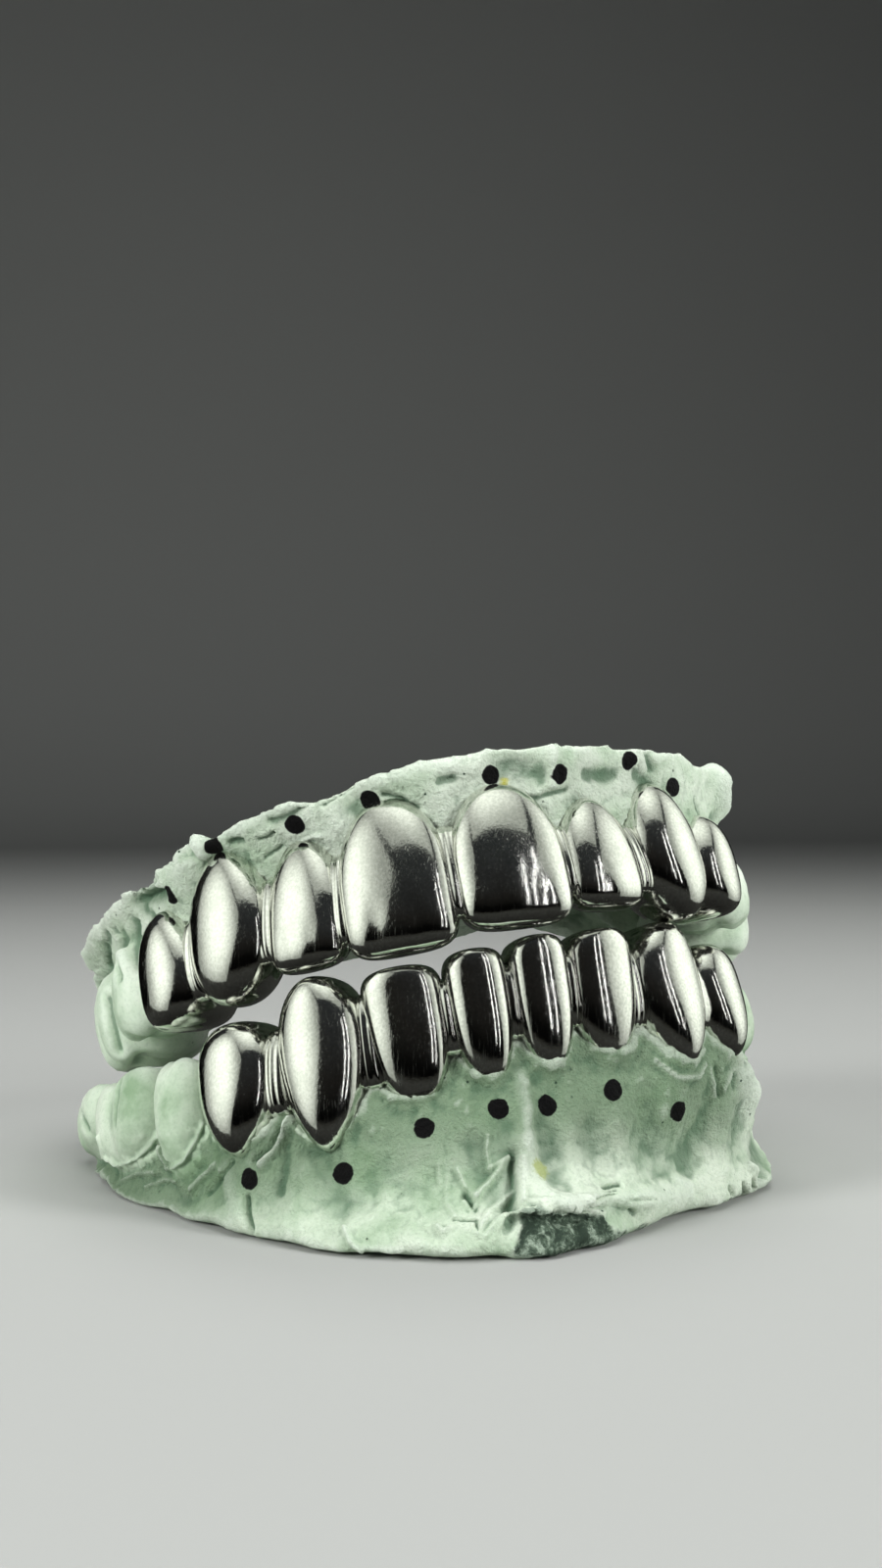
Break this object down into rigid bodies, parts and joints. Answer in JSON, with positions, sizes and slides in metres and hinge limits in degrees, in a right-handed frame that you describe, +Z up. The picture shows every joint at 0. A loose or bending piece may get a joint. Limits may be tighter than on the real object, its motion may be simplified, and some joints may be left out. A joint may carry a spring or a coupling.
{
  "type": "pair of grillz on dental stone casts",
  "caption": "Upper and lower rows of polished metal tooth caps, soldered side by side, each fitted over the front teeth of a dental stone cast of the jaw; the casts are stacked bite to bite.",
  "frame": {"origin": "middle of the whole on the table, under the casts", "axes": "+Z up; the front teeth face -Y; +X is the right of the picture"},
  "size_m": [0.0598, 0.0608, 0.0368],
  "materials": {
    "metal": "mirror polished, with fine polishing scratches",
    "stone": "matt, pale green, fine pores"
  },
  "bodies": {
    "root": {"upper_grillz": "metal", "lower_grillz": "metal", "upper_cast": "stone", "lower_cast": "stone"}
  },
  "joints": []
}
